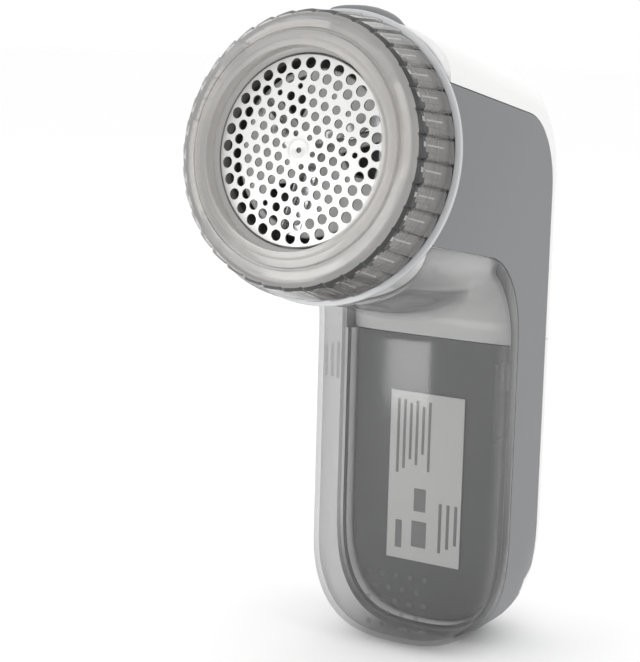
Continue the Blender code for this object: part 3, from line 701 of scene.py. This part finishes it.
def make_bin_dots():
    """Rows of low round dots on the inner face of the bin's foot."""
    verts = []
    faces = []
    for row in range(5):
        for column in range(-3, 4):
            x = DOT_X + 4.5 * column + (2.25 if row % 2 else 0.0)
            z = 7.5 + 3.9 * row
            if abs(x - DOT_X) > 12 - abs(row - 2) * 1.2:
                continue
            y = dot_depth(x, z)
            start = len(verts)
            for r, rise in DOT_RINGS:
                for k in range(DOT_SIDES):
                    turn = 2 * math.pi * k / DOT_SIDES
                    verts.append((x + r * math.cos(turn), y + rise, z + r * math.sin(turn)))
            tip = len(verts)
            verts.append((x, y + 0.42, z))
            faces.append([start + k for k in range(DOT_SIDES)])
            for base in range(start, tip - DOT_SIDES, DOT_SIDES):
                for k in range(DOT_SIDES):
                    after = (k + 1) % DOT_SIDES
                    above = base + DOT_SIDES
                    faces.append((base + k, base + after, above + after, above + k))
            last = tip - DOT_SIDES
            for k in range(DOT_SIDES):
                faces.append((last + k, last + (k + 1) % DOT_SIDES, tip))
    claim(add_mesh("bin_inner_dots", verts, faces, BIN), "bin", "smoky_clear")


def make_liner():
    liner = outer_shape("liner_skin", SHELL + GAP, SHELL + GAP)
    boolean(liner, slab("t_liner", (-40, SEAM_Y + GAP, -10), (40, 18.8, HOUSING_Z - GAP / 2)), "INTERSECT")
    inner = SHELL + GAP + LINER
    boolean(liner, outer_shape("t_liner_hollow", inner, inner))
    drop(settle(liner, WHITE, 0.15))
    liner.data.materials.append(DARK)
    # The liner's end faces at the right and at the foot are dark: painted shade for the shadow gap there.
    for face in liner.data.polygons:
        near = face.normal.y < -0.7 and face.center.y < (SEAM_Y + GAP + 0.4) * MM
        if near and (face.center.x > 0 or face.center.z < 22 * MM):
            face.material_index = 1
    claim(liner, "handle", "white_plastic", "handle_liner")


# ---- the battery tray behind the bin ----
def tray_outline(inset):
    """(x, z) outline of the tray seen from the front, moved inward by inset."""
    half = TRAY_HALF - inset
    depth = BOTTOM_H - 3.9 - inset
    points = [(half, HOUSING_Z - GAP / 2), (half, 62.0)]
    for k in range(0, 41):
        angle = math.pi * k / 40
        x = half * math.copysign(abs(math.cos(angle)) ** (2 / TRAY_POWER), math.cos(angle))
        z = BOTTOM_H - depth * math.sin(angle) ** (2 / TRAY_POWER) if 0 < k < 40 else BOTTOM_H
        points.append((x, z))
    points += [(-half, 62.0), (-half, HOUSING_Z - GAP / 2)]
    return points


def make_tray():
    radius = 1.6
    skin = [(18.5, 0.0), (TRAY_Y + radius, 0.0)]
    skin += [(TRAY_Y + radius * (1 - math.sin(t)), radius * (1 - math.cos(t)))
             for t in (math.radians(10 * k) for k in range(1, 10))]
    inner = [(TRAY_Y + 1.8, radius + 1.2), (TRAY_Y + 4.5, 2.0), (18.5, 1.8)]
    rows = skin + inner
    verts = []
    for y, inset in rows:
        verts += [(x, y, z) for x, z in tray_outline(inset)]
    wide = len(tray_outline(0))
    front = len(skin) - 1
    faces = []
    for i in range(len(rows)):
        if i == front:
            continue
        follower = (i + 1) % len(rows)
        for k in range(wide):
            after = (k + 1) % wide
            faces.append((i * wide + k, i * wide + after, follower * wide + after, follower * wide + k))
    faces.append([front * wide + k for k in range(wide)])
    faces.append([(front + 1) * wide + k for k in range(wide)])
    claim(add_mesh("tray_skin", verts, faces, TRAY_GREY), "handle", "grey_plastic", "battery_tray")


def make_label_print():
    """Generic printing: blocks of plain bars, with no lettering."""
    bars = []
    spans = ((70.0, 47.5), (70.0, 49.0), (69.0, 52.0), (70.0, 50.5), (68.5, 54.0), (70.0, 49.0))
    for k, (high, low) in enumerate(spans):
        x = -10.0 + 2.1 * k
        bars.append(((x, low), (x + 0.9, high)))
    for k in range(3):
        bars.append(((5.0 + 2.6 * k, 25.0 + 1.5 * k), (6.0 + 2.6 * k, 40.0)))
    bars.append(((-9.5, 24.5), (-7.3, 33.0)))
    bars.append(((-4.0, 25.5), (1.0, 33.5)))
    bars.append(((-3.5, 36.5), (0.5, 43.5)))
    for k, ((x0, z0), (x1, z1)) in enumerate(bars):
        bar = slab("label_bar_%d" % (k + 1), (x0, TRAY_Y - 0.63, z0), (x1, TRAY_Y - 0.5, z1))
        settle(bar, PRINT, 0.04, segments=1)
        claim(bar, "handle", "label_paper")


# ---- the cutting head ----
def foil_height(radius):
    """Height of the foil's face: a dome with a ring and a dimple stamped in its middle."""
    rise = FOIL_DOME * (1 - (radius / FOIL_R) ** 2)
    if 1.7 < radius < 3.1:
        rise += 0.16 * math.sin((radius - 1.7) / 1.4 * math.pi) ** 2
    if radius < 1.5:
        rise -= 0.25 * (1 - (radius / 1.5) ** 2)
    return rise


def foil_holes():
    """(x, y, radius) of every hole: two full rows at the rim, a hexagonal field inside, one in the middle."""
    holes = [(0.0, 0.0, 0.75)]
    step = 2 * math.pi / HOLES_IN_ROW
    for row_r, hole_r, phase in ((22.5, 1.5, 0.0), (19.2, 1.37, 0.5)):
        for k in range(HOLES_IN_ROW):
            angle = math.pi / 2 + (k + phase) * step
            holes.append((row_r * math.cos(angle), row_r * math.sin(angle), hole_r))
    turn = math.radians(48)
    for i in range(-HOLE_RINGS, HOLE_RINGS + 1):
        for j in range(-HOLE_RINGS, HOLE_RINGS + 1):
            ring = max(abs(i), abs(j), abs(i + j))
            if ring == 0 or ring > HOLE_RINGS:
                continue
            along = HOLE_PITCH * (i + 0.5 * j)
            across = HOLE_PITCH * math.sqrt(3) / 2 * j
            x = along * math.cos(turn) - across * math.sin(turn)
            y = along * math.sin(turn) + across * math.cos(turn)
            hole_r = 1.2
            if ring == 1:
                x *= 4.4 / HOLE_PITCH
                y *= 4.4 / HOLE_PITCH
                hole_r = 0.8
            if ring == HOLE_RINGS:
                from_corner = min(abs(i), abs(j), abs(i + j))
                if from_corner == 0:
                    continue
                hole_r = 1.2 if from_corner == 2 else 0.8
            holes.append((x, y, hole_r))
    return holes


def make_foil():
    radii = [0.0, 0.6, 1.1, 1.5, 1.7, 2.05, 2.4, 2.75, 3.1, 4.0, 6.0, 9.0, 12.0, 15.0, 18.0, 20.8, 23.0,
             24.1, FOIL_R]
    front = [(r, foil_height(r)) for r in radii]
    back = [(r, foil_height(r) - FOIL_THICK) for r in reversed(radii[:-1])]
    rim = [(FOIL_R + 0.2, -0.15), (FOIL_R + 0.3, -0.4), (FOIL_R + 0.3, -3.0), (26.8, -3.0), (26.8, -3.5),
           (FOIL_R - 0.3, -3.5), (FOIL_R - 0.3, -0.6)]
    foil = turned("foil_sheet", front + rim + back, FOIL, steps=160)
    verts = []
    faces = []
    for n, (x, y, hole_r) in enumerate(foil_holes()):
        sides = 24 if hole_r > 1 else 18
        start = len(verts)
        for z in (-1.5, 2.8):
            for k in range(sides):
                turn = 2 * math.pi * (k + 0.37) / sides + n * 0.1
                verts.append((x + hole_r * math.cos(turn), y + hole_r * math.sin(turn), z))
        faces += [[start + k for k in range(sides)], [start + sides + k for k in range(sides)]]
        for k in range(sides):
            after = (k + 1) % sides
            faces.append((start + k, start + after, start + sides + after, start + sides + k))
    boolean(foil, add_mesh("t_holes", verts, faces, None, HEAD))
    drop(settle(foil, FOIL, 0, 30))
    claim(foil, "foil_unit", "foil_metal", "foil")


def grip_radius(along):
    """Radius of the ring's grip, which widens towards the collar."""
    return SPACER_FRONT_R + (SPACER_R - SPACER_FRONT_R) * (0.6 - along) / 13.5


def ring_bars(name, phase, half, depth, thick, front, rear, look):
    """Thin lines along the grip, one for each tooth, buried just under its surface; dark ones are painted
    shade lines, light ones painted highlights.
    """
    verts = []
    faces = []
    for k in range(SPACER_TEETH):
        middle = 2 * math.pi * (k + phase) / SPACER_TEETH
        start = len(verts)
        for along in (front, (front + rear) / 2, rear):
            for r in (grip_radius(along) - depth - thick, grip_radius(along) - depth):
                for side in (-1, 1):
                    angle = middle + side * math.radians(half)
                    verts.append((r * math.cos(angle), r * math.sin(angle), along))
        for base in (start, start + 4):
            for a, b in ((0, 1), (1, 3), (3, 2), (2, 0)):
                faces.append((base + a, base + b, base + 4 + b, base + 4 + a))
        faces += [(start, start + 1, start + 3, start + 2), (start + 8, start + 9, start + 11, start + 10)]
    claim(add_mesh(name, verts, faces, look, HEAD), "spacer", "smoky_clear")


def ring_sector(name, low_r, high_r, middle, half, look):
    """A short arc behind the ring's face, reaching half degrees to each side of middle."""
    low_a = 1.6
    high_a = 2.7
    verts = []
    faces = []
    count = 9
    for k in range(count):
        angle = math.radians(middle - half + 2 * half * k / (count - 1))
        for r, a in ((low_r, low_a), (high_r, low_a), (high_r, high_a), (low_r, high_a)):
            verts.append((r * math.cos(angle), r * math.sin(angle), a))
    for k in range(count - 1):
        for j in range(4):
            a = k * 4 + j
            b = k * 4 + (j + 1) % 4
            faces.append((a, b, b + 4, a + 4))
    faces += [(0, 1, 2, 3), tuple((count - 1) * 4 + j for j in range(4))]
    piece = add_mesh(name, verts, faces, look, HEAD)
    settle(piece, look, 0.25)
    claim(piece, "spacer", "smoky_clear")


def make_ring():
    """The clear height ring: ratchet teeth on its grip, a stepped front face and an inner sleeve."""
    profile = [(26.2, 1.3), (26.2, 4.5), (26.35, 4.75), (27.6, 4.75), (27.9, 4.6), (28.4, 4.25), (29.9, 4.1),
               (30.25, 3.95), (30.35, 3.3), (30.5, 3.0), (31.0, 3.0), (31.15, 3.3), (33.6, 3.4), (34.1, 3.3),
               (34.6, 2.9), (35.3, 2.0), (SPACER_FRONT_R, 1.0)]
    profile += [(grip_radius(along), along) for along in (0.0, -1.0, -6.0, -11.8)]
    profile += [(37.6, -12.5), (36.9, -12.9), (36.0, -12.9), (35.9, -12.6), (35.0, -1.0), (34.9, -0.2),
                (34.4, 0.2), (33.9, 0.0), (33.8, -0.5), (33.8, -8.2), (33.6, -8.5), (32.8, -8.5),
                (32.6, -8.2), (32.6, 1.3)]
    depths = (0.85, 0.0, 0.0, 0.03, 0.07, 0.11, 0.16, 0.21, 0.26, 0.32)
    per_tooth = len(depths)
    steps = SPACER_TEETH * per_tooth
    share = {15: 0.35, 16: 0.9, 17: 1.0, 18: 1.0, 19: 1.0, 20: 1.0, 21: 0.7, 22: 0.2}

    def tooth(index, radius, angle):
        k = round(angle / (2 * math.pi) * steps) % per_tooth
        return radius - depths[k] * share.get(index, 0.0)

    ring = turned("height_ring_skin", profile, RING, steps=steps, shape_r=tooth, sharp=28)
    for look in (RING_FACE, RING_SHADE_LINE, RING_LIGHT):
        ring.data.materials.append(look)
    front, dark, light = 1, 2, 3
    for face in ring.data.polygons:
        part = face.index % steps % per_tooth
        reach = face.center.xy.length / MM
        along = face.center.z / MM
        if along > 1.15 and face.normal.z > -0.1 and reach < 35.9:
            face.material_index = front
        # Painted shade: a dark contour round the front edge, reaching jaggedly into each tooth's first row,
        # with small painted highlights set in it.
        if 0.0 < along < 1.6 and reach > 35.2 and face.normal.z > -0.9:
            face.material_index = light if along < 1.0 and part in (5, 6) else dark
        if -1.0 < along < 0.0 and reach > 35.2 and part in (0, 1, 2, 9):
            face.material_index = dark
    claim(ring, "spacer", "smoky_clear", "spacer_ring")


def make_ring_details():
    for k in range(4):
        ring_sector("ring_lug_%d" % (k + 1), 30.8, 34.2, 45 + 90 * k, 6.5, RING_DARK)
        ring_sector("ring_light_arc_%d" % (k + 1), 31.3, 33.3, 12 + 90 * k, 22, RING_LIGHT)
    # Painted shade lines at each tooth, finer ones between and hooks at their rear ends; painted highlights:
    # a glint along each tooth.
    ring_bars("ring_tooth_shade_lines", 0.0, 0.4, 1.0, 0.4, -0.9, -11.9, RING_SHADE_LINE)
    ring_bars("ring_glints", 0.6, 0.35, 0.6, 0.2, -1.6, -8.0, RING_LIGHT)
    ring_bars("ring_fine_shade_lines", 0.32, 0.12, 0.6, 0.15, -1.4, -9.4, RING_SHADE_LINE)
    ring_bars("ring_shade_hooks", 0.12, 1.3, 0.6, 0.2, -10.6, -11.3, RING_SHADE_LINE)
    # Dark rings buried at the front and rear edges: painted shade lines.
    shade_contour = [(34.5, 1.3), (35.25, 1.0), (35.25, -0.8), (35.08, -0.8), (35.0, 0.3), (34.5, 0.6)]
    claim(turned("ring_front_shade_line", shade_contour, RING_SHADE_LINE, steps=180), "spacer", "smoky_clear")
    shade_contour = eased([(36.1, -12.7), (36.8, -12.7), (36.8, -12.2), (36.1, -12.2)], 0.1)
    claim(turned("ring_rear_shade_line", shade_contour, RING_SHADE_LINE, steps=180), "spacer", "smoky_clear")


def make_head_details():
    collar = [(COLLAR_R - 0.45, COLLAR_FRONT), (COLLAR_R - 0.15, COLLAR_FRONT - 0.1),
              (COLLAR_R, COLLAR_FRONT - 0.4), (COLLAR_R, COLLAR_BACK + 0.4),
              (COLLAR_R - 0.15, COLLAR_BACK + 0.1), (COLLAR_R - 0.45, COLLAR_BACK),
              (32.5, COLLAR_BACK), (32.5, COLLAR_FRONT)]
    claim(turned("collar_skin", collar, SILVER, steps=192), "handle", "collar_silver", "head_collar")
    # A dark disc on the collar's front face, behind the ring: painted shade.
    shade = eased([(32.8, COLLAR_FRONT + 0.22), (37.4, COLLAR_FRONT + 0.22), (37.4, COLLAR_FRONT + 0.05),
                   (32.8, COLLAR_FRONT + 0.05)], 0.05)
    claim(turned("collar_front_shade", shade, DARK, steps=192), "handle", "collar_silver")
    retainer = eased([(25.2, -2.7), (25.2, -0.2), (26.4, 0.6), (28.8, 0.9), (29.9, 0.2), (29.9, -3.4),
                      (27.1, -3.4), (27.1, -2.7)], 0.35)
    skin = turned("retainer_skin", retainer, RETAINER, steps=160)
    claim(skin, "foil_unit", "grey_plastic", "foil_retainer")


def blade_place(k):
    return HEAD @ Matrix.Rotation(math.radians(BLADE_PHASE + 360 // BLADES * k), 4, "Z")


def make_rotor():
    """The carrier, with an opening in front of each blade, the blades on their rivets, and the cap."""
    outline = eased([(0, -4.9), (21.6, -4.9), (22.0, -5.1), (22.0, -6.4), (5.4, -6.4), (5.4, -11.4),
                     (3.4, -11.4), (3.4, -7.4), (0, -7.4)], 0.25)
    disc = turned("rotor_disc", outline, ROTOR_WHITE, steps=120)
    opening = [(8.5, -2.2), (20.2, -2.2), (19.0, -7.5), (16.5, -12.0), (10.5, -8.5)]
    for k in range(BLADES):
        boolean(disc, prism("t_fan_%d" % k, opening, -12, -4, None, blade_place(k)))
    drop(settle(disc, ROTOR_WHITE, 0.2))
    claim(disc, "rotor", "white_plastic", "blade_carrier")

    section = [(0.0, -4.6), (4.0, -4.6), (4.0, -4.15), (0.9, -4.15), (0.7, -3.95), (0.62, -1.1), (0.3, -0.95),
               (0.0, -1.25)]
    head = [(0, -3.55), (0.5, -3.6), (0.8, -3.85), (0.8, -4.1), (0, -4.1)]
    for k in range(BLADES):
        spin = blade_place(k)
        blade = prism("blade_skin_%d" % (k + 1), section, 3.4, 21.6, None, spin, 0)
        boolean(blade, slab("t_slot", (9, -1, -3.4), (16, 1.5, -2.6), spin))
        drop(settle(blade, BLADE, 0.05, segments=1))
        claim(blade, "rotor", "blade_steel", "blade_%d" % (k + 1))
        for n, at in enumerate((7.0, 18.0)):
            spot = spin @ Matrix.Translation(Vector((at, 2.6, 0)) * MM)
            rivet = turned("blade_rivet_%d_%d" % (k + 1, n + 1), head, ROTOR_WHITE, spot, 20)
            claim(rivet, "rotor", "white_plastic")

    outline = eased([(0, -2.9), (1.2, -2.9), (1.3, -2.3), (2.3, -2.2), (2.9, -2.8), (2.9, -4.6),
                     (0, -4.6)], 0.15)
    cap = turned("hub_cap_skin", outline, ROTOR_WHITE, steps=48)
    claim(cap, "rotor", "white_plastic", "blade_cap")


def make_knob():
    """A low two-speed slide with a rounded back and grip lines, as (along, top, half width) sections."""
    stations = [(-15.4, 39.4, 6.6), (-16.0, 40.2, 7.1), (-18.0, 40.8, 7.4), (-21.0, 41.1, 7.5),
                (-25.0, 41.15, 7.5), (-28.0, 40.95, 7.5), (-30.5, 40.4, 7.5), (-34.0, 39.15, 7.4),
                (-37.0, 37.9, 7.1), (-38.8, 37.2, 6.6)]
    verts = []
    across = 24
    for a, top, half in stations:
        for k in range(across + 1):
            t = -1 + 2 * k / across
            x = half * math.copysign(abs(math.sin(t * math.pi / 2)) ** 0.8, t)
            u = KNOB_FOOT_U + (top - KNOB_FOOT_U) * max(0.0, math.cos(t * math.pi / 2)) ** 0.13
            verts.append((x, u, a))
    wide = across + 1
    faces = []
    for i in range(len(stations) - 1):
        for k in range(across):
            a = i * wide + k
            faces.append((a, a + 1, a + 1 + wide, a + wide))
        faces.append((i * wide, (i + 1) * wide, (i + 2) * wide - 1, (i + 1) * wide - 1))
    faces.append(list(range(wide)))
    faces.append([(len(stations) - 1) * wide + k for k in range(wide)])
    knob = add_mesh("knob_skin", verts, faces, None, HEAD)
    boolean(knob, outer_shape("t_crown", -GAP, -GAP))
    for n in range(4):
        a = -18.6 - 2.6 * n
        boolean(knob, slab("t_grip_%d" % n, (-5, 40.5, a - 0.5), (5, 46, a + 0.5), HEAD))
    drop(settle(knob, KNOB_GREY, 0.25, 40))
    claim(knob, "knob", "grey_plastic", "switch_knob")


# ---- camera, light, floor ----
def make_camera():
    place = Vector((258.5, -469.9 + ROW_SHIFT, 181.9)) * MM
    target = Vector((-35.25, ROW_SHIFT, 87.86)) * MM
    forward = (target - place).normalized()
    level = forward.cross(Vector((0, 0, 1))).normalized()
    rise = level.cross(forward)
    roll = math.radians(1.54)
    right = level * math.cos(roll) + rise * math.sin(roll)
    up = rise * math.cos(roll) - level * math.sin(roll)
    lens = bpy.data.cameras.new("camera")
    lens.sensor_fit = "HORIZONTAL"
    lens.sensor_width = 36.0
    lens.lens = 105.25
    camera = bpy.data.objects.new("camera", lens)
    turn = Matrix((right, up, -forward)).transposed().to_4x4()
    camera.matrix_world = Matrix.Translation(place) @ turn
    bpy.context.scene.collection.objects.link(camera)
    bpy.context.scene.camera = camera


def add_lamp(name, at, size, energy):
    """An area light, in metres and watts, that faces the middle of the object."""
    lamp = bpy.data.lights.new(name, "AREA")
    lamp.shape = "RECTANGLE"
    lamp.size, lamp.size_y = size
    lamp.energy = energy
    holder = bpy.data.objects.new(name, lamp)
    holder.location = at
    holder.visible_camera = False
    holder.rotation_euler = (LIT_POINT - Vector(at)).to_track_quat("-Z", "Y").to_euler()
    bpy.context.scene.collection.objects.link(holder)
    return holder


def make_lights():
    add_lamp("key", (-0.55, -0.75, 0.75), (0.7, 0.7), 2.2)
    add_lamp("side", (0.9, -0.25, 0.45), (0.35, 0.9), 0.8)
    add_lamp("top", (0.05, 0.15, 1.0), (0.9, 0.7), 0.5)
    add_lamp("back", (-0.2, 0.9, 0.5), (0.9, 0.5), 0.25)
    # a low strip that is only reflected, in the front of the bin
    add_lamp("strip", (-0.09, -0.22, 0.1), (0.08, 0.18), 0.2).visible_diffuse = False
    world = bpy.data.worlds.new("studio")
    world.use_nodes = True
    sky = world.node_tree.nodes["Background"]
    sky.inputs["Color"].default_value = (1, 1, 1, 1)
    sky.inputs["Strength"].default_value = 1.0
    bpy.context.scene.world = world


def make_floor():
    size = 6000.0
    corners = [(-size, -size, 0), (size, -size, 0), (size, size, 0), (-size, size, 0)]
    ground = add_mesh("ground", corners, [(0, 1, 2, 3)])
    made, nodes, links, shader = tree("ground_paper")
    faint = noise(nodes, links, 4.0)
    paper = tint(nodes, links, faint.outputs["Fac"], (0.985, 0.985, 0.985), (0.998, 0.998, 0.998))
    links.new(paper, shader.inputs["Base Color"])
    shader.inputs["Roughness"].default_value = 0.7
    ground.data.materials.append(made)


bpy.context.scene.view_settings.view_transform = "Standard"
make_camera()
make_lights()
make_floor()
make_side_shells()
make_housing()
make_cover()
make_bin()
make_bin_ribs()
make_bin_latch()
make_bin_dots()
make_liner()
make_tray()
make_label_print()
make_foil()
make_ring()
make_ring_details()
make_head_details()
make_rotor()
make_knob()
